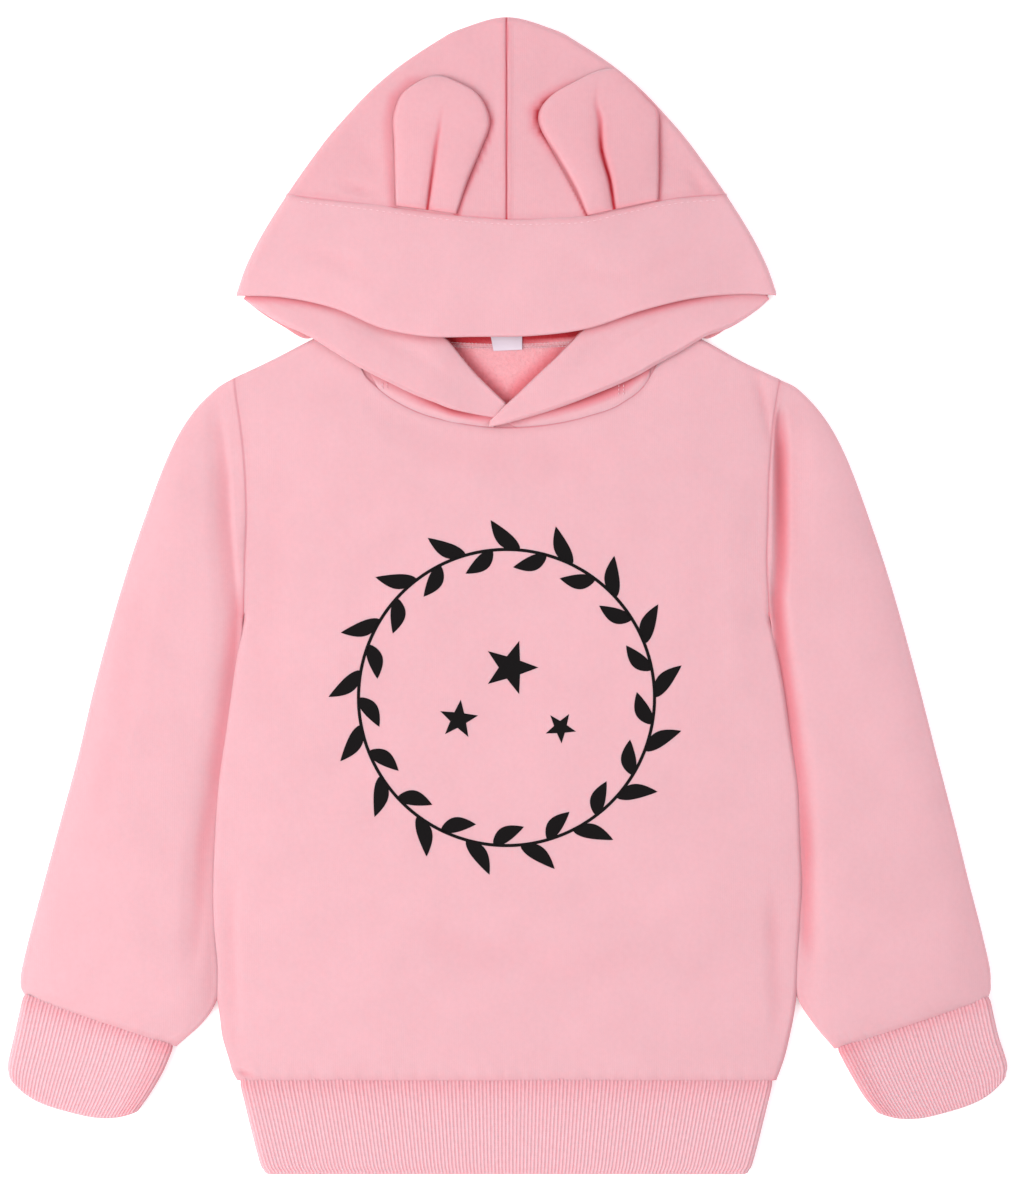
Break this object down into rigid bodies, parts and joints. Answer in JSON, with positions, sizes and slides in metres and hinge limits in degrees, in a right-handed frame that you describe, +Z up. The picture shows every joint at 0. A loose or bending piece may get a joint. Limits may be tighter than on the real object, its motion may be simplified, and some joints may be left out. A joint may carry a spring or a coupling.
{
  "type": "toddler hoodie",
  "caption": "Child's pullover hoodie laid out flat, hood up with two ears on it, ribbed cuffs and hem, open neck and face opening.",
  "frame": {"origin": "under the middle of the garment, on the surface it lies on", "axes": "+Z up out of the front of the garment, +Y from the hem towards the hood, +X towards the wearer's left sleeve"},
  "size_m": [0.4996, 0.5796, 0.02],
  "materials": {
    "fleece": "brushed-back cotton sweatshirt jersey, soft pink, matt",
    "rib": "cotton rib knit in the same pink, matt",
    "label": "plain white woven satin ribbon"
  },
  "bodies": {
    "root": {"back_panel": "fleece", "front_panel": "fleece", "sleeve_left": "fleece", "sleeve_right": "fleece", "cuff_left": "rib", "cuff_right": "rib", "hem_band": "rib", "hood_panel_left": "fleece", "hood_panel_right": "fleece", "hood_band": "fleece", "hood_band_left": "fleece", "hood_band_right": "fleece", "ear_left": "fleece", "ear_right": "fleece", "neck_label": "label"}
  },
  "joints": []
}
